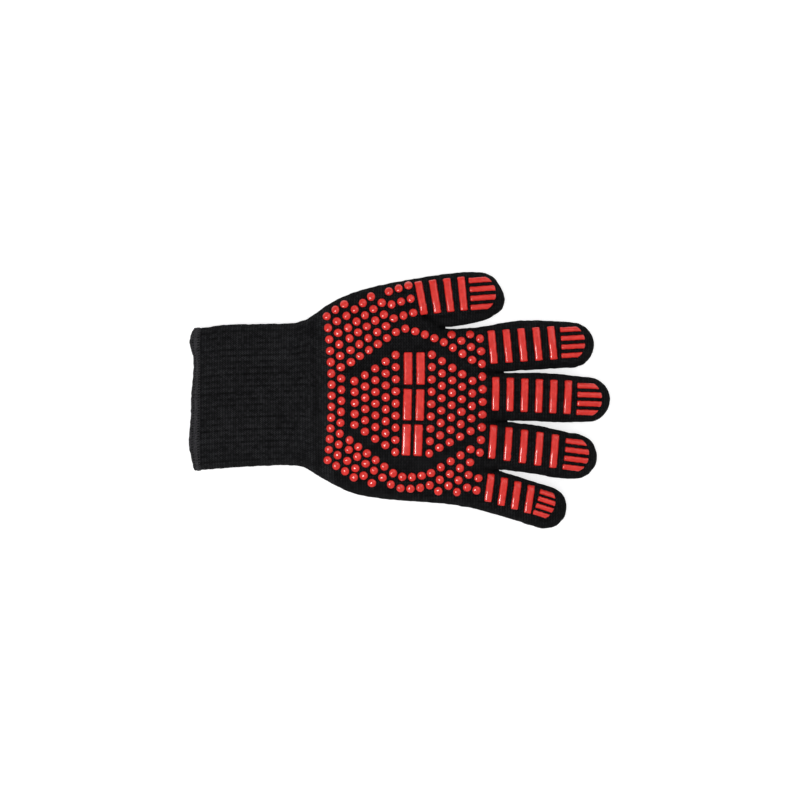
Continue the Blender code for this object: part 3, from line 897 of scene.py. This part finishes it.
# ======== hem and lining
# How far along the cuff the hem's outer edge lies on the palm side: (Y, X).
HEM_EDGE = [
    (-51, -146.8), (-47.1, -147.2), (-39.9, -148.4), (-35.5, -149.5), (-31.2, -150.0),
    (-25.4, -149.7), (-11.0, -148.4), (3.9, -148.2), (11.0, -147.5), (20.0, -146.5), (30.2, -146.6),
    (34.7, -148.0), (40.0, -149.6), (46.0, -148.9), (51, -147.0),
]
HEM_BACK_EDGE = [(-51, -146.8), (-38, -148.0), (-20, -147.2), (-4, -148.6), (14, -148.9),
                 (33, -147.4), (51, -147.0)]
HEM_INNER_X = -142.6  # the inner row of stitches
HEM_POINTS, HEM_BLUR = 960, 56  # points round the hem, and how often its edge is smoothed
HEM_CLOTH = 7.8  # how wide the band's cloth is, out to its edge and round to the inner row
# The hem's section: how far from its outer edge to the inner row of stitches, and how far it
# stands out from the cuff, in millimetres. Its two low places are where the stitches pull it in.
HEM_SECTION = [
    (1.0, -1.5), (0.6, -1.9), (0.25, -1.8), (0.06, -1.3), (0.0, -0.6), (0.03, 0.05), (0.12, 0.42),
    (0.24, 0.46), (0.30, 0.18), (0.36, -0.30), (0.42, 0.20), (0.50, 0.50), (0.64, 0.66),
    (0.78, 0.52), (0.87, 0.12), (0.95, -0.45), (1.03, 0.06), (1.10, 0.14), (1.20, -0.35),
]
HEM_ROWS, ROW_HALF = (0.36, 0.95), 0.10  # the two rows of stitches, and half a row's width
STITCH_PITCH = 1.95
LINING_INSET, LINING_END_X = 2.2, -78.0
LINING_RINGS, LINING_POINTS = 34, 260


def mouth_loop(x, count):
    """Points round the cuff at x as (Y, Z), the outward way at each, and the distance round."""
    low, high = cuff_sides(x)
    ys = np.linspace(low, high, 700)
    flat = np.column_stack([np.full(len(ys), x), ys])
    distance = np.minimum(ys - low, high - ys)
    up, down = palm_height(flat, distance), back_height(flat, distance)
    up[[0, -1]] = down[[0, -1]] = HALF
    loop = np.vstack([np.column_stack([ys, up]), np.column_stack([ys, down])[::-1]])
    step = np.hypot(*(np.roll(loop, -1, 0) - loop).T)
    loop, step = loop[step > 1e-6], step[step > 1e-6]
    way = np.concatenate([[0], np.cumsum(step)])
    closed = np.vstack([loop, loop[:1]])
    at = np.linspace(0, way[-1], count, endpoint=False)
    ring = blurred(np.column_stack([np.interp(at, way, part) for part in closed.T]), count // 60)
    tangent = np.roll(ring, -1, 0) - np.roll(ring, 1, 0)
    tangent /= np.hypot(*tangent.T)[:, None]
    return ring, np.column_stack([-tangent[:, 1], tangent[:, 0]]), way[-1]


class Hem:
    """The rolled edge of the cuff, by the way round the mouth and the way across the band."""

    def __init__(self):
        self.ring, self.outward, length = mouth_loop(MOUTH_X, HEM_POINTS)
        self.pitches = round(length / STITCH_PITCH)
        y, z = self.ring.T
        front, back = (np.interp(y, *zip(*edge)) for edge in (HEM_EDGE, HEM_BACK_EDGE))
        edge = blurred(back + (front - back) * smoothstep(z, 4, 12), HEM_BLUR)
        turn = np.arange(HEM_POINTS) / HEM_POINTS * math.tau
        self.edge = edge + 0.10 * np.sin(31 * turn) + 0.07 * np.sin(53 * turn + 1)
        self.inner = HEM_INNER_X + 0.25 * (edge + 148) + 0.12 * np.sin(23 * turn)

    def at(self, way, across, lift):
        """The place that many stitch pitches round, across the band and out from the cuff."""
        index = np.asarray(way, float) * (HEM_POINTS / self.pitches) % HEM_POINTS
        low, share = index.astype(int), index % 1

        def between(values):
            return values[low] + (values[(low + 1) % HEM_POINTS] - values[low]) * share

        x = between(self.edge) * (1 - across) + between(self.inner) * across
        y, z = (between(self.ring[:, k]) + between(self.outward[:, k]) * lift for k in (0, 1))
        return np.column_stack([x, y, z])

    def band(self):
        """The flattened roll of cloth right round the mouth."""
        way = np.arange(HEM_POINTS) / HEM_POINTS * self.pitches
        pull = 0.5 + 0.5 * np.cos(way * math.tau)
        rings, uv, shade = [], [], []
        for across, lift in HEM_SECTION:
            near_row = max(math.exp(-((across - row) / ROW_HALF) ** 2) for row in HEM_ROWS)
            lifted = lift + 0.05 * np.sin(way * 2.1) - 0.3 * near_row * (1 - pull)
            rings.append(self.at(way, across, lifted))
            uv.append(np.column_stack([way * STITCH_PITCH,
                                       np.full(HEM_POINTS, across * HEM_CLOTH)]))
            # Painted shade: darker in the holes that the stitches pull in, and towards the band's inner edge,
            # where it meets the cuff.
            shade.append((1 - near_row * (0.6 + 0.38 * (1 - pull)))
                         * (1 - 0.5 * smoothstep(across, 0.8, 1.1)))
        return piece("cuff_hem_band", np.vstack(rings[::-1]),
                     tube(len(rings), HEM_POINTS, closed=True), HEM_KNIT, np.vstack(uv[::-1]),
                     np.concatenate(shade[::-1]))

    def thread(self):
        """Overlock thread: a stitch over each low row at every pitch, and a slant between them."""
        verts, faces, runs = [], [], []
        for number in range(self.pitches):
            for row in HEM_ROWS:
                runs.append((number, row - ROW_HALF, number + 0.1, row + ROW_HALF, 0.16, 0.27))
            runs.append((number + 0.15, 0.46, number + 0.75, 0.86, 0.48, 0.17))
        for way_a, across_a, way_b, across_b, lift, radius in runs:
            ends = self.at([way_a, way_b], np.array([across_a, across_b]), lift)
            made, sides = capsule(*ends, radius)
            faces += [tuple(v + len(verts) for v in side) for side in sides]
            verts += made
        return piece("cuff_hem_thread", verts, faces, THREAD)


def capsule(start, end, radius, sides=7):
    """Points and faces of a short thread with rounded ends."""
    way = (end - start) / np.linalg.norm(end - start)
    side = np.cross(way, (0, 0, 1) if abs(way[2]) < 0.9 else (1, 0, 0))
    side /= np.linalg.norm(side)
    other = np.cross(way, side)
    stations = [(-0.95, 0.3), (-0.6, 0.8), (0.0, 1.0)]
    spots = [(start + way * s * radius, r) for s, r in stations]
    spots += [(end - way * s * radius, r) for s, r in stations[::-1]]
    verts = [spot + radius * share * (c * side + s * other)
             for spot, share in spots for c, s in round_points(sides)]
    return verts, capped_tube(len(spots), sides)


def lining():
    """The inside of the cuff that shows at its mouth."""
    rings, uv = [], []
    for x in np.linspace(MOUTH_X + 0.6, LINING_END_X, LINING_RINGS):
        ring, outward, length = mouth_loop(x, LINING_POINTS)
        along = np.full(LINING_POINTS, x)
        rings.append(np.column_stack([along, ring - outward * LINING_INSET]))
        uv.append(np.column_stack([np.arange(LINING_POINTS) / LINING_POINTS * length, along]))
    return piece("cuff_lining", np.vstack(rings[::-1]), tube(LINING_RINGS, LINING_POINTS), LINING,
                 np.vstack(uv[::-1]))


# ======== assembly
SKIN = Skin()


def middle_of(points):
    return (points.min(0) + points.max(0)) / 2


def mm3(x, y, z=HALF):
    return tuple(value * MM for value in (x, y, z))


def bend(obj, joint):
    """Works out where the bending stretch over a digit's fold starts and ends, along the way that the
    digit runs, but does not use it, and bakes obj's transform into its mesh.
    """
    place, heading = fold(joint["name"])
    start, end = place - heading * FOLD_BEFORE, place + heading * FOLD_AFTER
    mm3(*start)
    mm3(*end)
    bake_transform(obj)


palm = SKIN.piece("palm_knit", (0, 0), PALM_KNIT)
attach(palm, "palm")
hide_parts("palm_shell", "palm_liner")

cuff = SKIN.piece("cuff_rib_knit", (-100, 0), CUFF_KNIT)
mm3(WRIST_BEND[0], 3)
mm3(WRIST_BEND[1], 3)
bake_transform(cuff)
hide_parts("cuff_shell")

inner = lining()
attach(inner, "cuff")
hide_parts("cuff_liner")

HEM = Hem()
band, thread = HEM.band(), HEM.thread()
for made in (band, thread):
    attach(made, "cuff")
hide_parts("cuff_hem")

for slit, end in SLIT_ENDS.items():
    saddle = web(f"{slit}_web", end, CROTCHES[slit])
    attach(saddle, "palm")

for digit in DIGITS:
    joints = chain(digit)
    for joint in joints:
        place, heading = fold(joint["name"])
        skin = SKIN.piece(f"{joint['child']}_knit", place + heading * PAST_FOLD, PALM_KNIT, digit)
        bend(skin, joint)
        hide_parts(f"{joint['child']}_shell", f"{joint['child']}_liner")
    for strip in tip_strips(digit):
        bend(strip, joints[-1])

for node, slot in SLOTS.items():
    if slot != "red_silicone":
        continue
    flat = np.array([v.co[:2] for v in frame["nodes"][node].data.vertices]) / MM
    if node.startswith("palm_bars"):
        middle = middle_of(flat)[0]
        halves = [flat[flat[:, 0] < middle], flat[flat[:, 0] > middle]]
        halves = [half[np.abs(half[:, 0] - half[:, 0].mean()) < PAIR_REACH] for half in halves]
        lean, length = PALM_BARS[node]
        for number, half in enumerate(halves):
            made = bar_on(f"{node}_{number + 1}", middle_of(half), math.radians(lean), length,
                          PALM_BAR_SIZE)
            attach(made, "palm")
            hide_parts(node)
        continue
    centre = middle_of(flat)
    away = flat - centre
    long_way = np.linalg.eigh(away.T @ away)[1][:, 1]
    long_way *= np.sign(long_way[1])
    length = 2 * np.abs(away @ long_way).max()
    lean = math.atan2(-long_way[0], long_way[1])
    made = bar_on(f"{node}_moulded", centre, lean, length, BAR_SIZE)
    digit = node.split("_")[0]
    folds = {joint["name"]: fold(joint["name"]) for joint in chain(digit)}
    nearest = min(folds, key=lambda name: abs((centre - folds[name][0]) @ folds[name][1]))
    bend(made, JOINTS[nearest])
    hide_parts(node)

field = np.vstack([row_places(*row) for row in DOT_ROWS])
studs = dots("silicone_dots", field)
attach(studs, "palm")


# ======== studio
FLOOR_GLOW, WORLD_GLOW = 0.66, 0.42
FLOOR_SIDE, FLOOR_LEVEL = 9000, -0.4  # half of its width, and its height, in millimetres
# Each softbox: its place, size and power, and whether it lights matte and glossy surfaces.
LIGHTS = {
    "key": ((-0.34, -0.22, 0.78), (0.44, 0.44), 2.55, True, False),
    "fill": ((0.7, 0.6, 1.2), (1.0, 1.0), 3.5, True, True),
    "top": ((0, 0.1, 1.7), (1.6, 1.2), 6.0, True, False),
    "sparkle": ((-0.44, -0.22, 1.25), (0.34, 0.34), 13.0, False, True),
}
VIEW_WIDTH = 0.711 * 800 * MM  # at the photo's scale, in metres
VIEW_LEVEL = 0.014  # the height where that scale holds
LENS = 85


def softbox(name, place, size, power, diffuse, glossy):
    """An area light aimed at the glove."""
    light = bpy.data.lights.new(name, "AREA")
    light.shape = "RECTANGLE"
    light.size, light.size_y = size
    light.energy = power
    obj = bpy.data.objects.new(name, light)
    obj.location = place
    obj.rotation_euler = (-Vector(place)).to_track_quat("-Z", "Y").to_euler()
    obj.visible_diffuse, obj.visible_glossy = diffuse, glossy
    bpy.context.scene.collection.objects.link(obj)


def studio():
    floor_look = Nodes("pale_floor")
    floor_look.constants(Base_Color=(0.62, 0.62, 0.62, 1), Roughness=0.9, Specular_IOR_Level=0.1,
                         Emission_Color=(1, 1, 1, 1), Emission_Strength=FLOOR_GLOW)
    corners = [(x * FLOOR_SIDE, y * FLOOR_SIDE, FLOOR_LEVEL)
               for x, y in ((-1, -1), (1, -1), (1, 1), (-1, 1))]
    piece("floor", corners, [(0, 1, 2, 3)], floor_look.material)
    for name, row in LIGHTS.items():
        softbox(name, *row)
    world = bpy.data.worlds.new("studio")
    world.use_nodes = True
    background = world.node_tree.nodes["Background"].inputs
    background["Color"].default_value = (1, 1, 1, 1)
    background["Strength"].default_value = WORLD_GLOW
    bpy.context.scene.world = world
    bpy.context.scene.view_settings.view_transform = "Standard"


def camera():
    data = bpy.data.cameras.new("camera")
    data.lens = LENS
    obj = bpy.data.objects.new("camera", data)
    obj.location = (0.0, 0.0, VIEW_WIDTH * data.lens / data.sensor_width + VIEW_LEVEL)
    bpy.context.scene.collection.objects.link(obj)
    bpy.context.scene.camera = obj


studio()
camera()
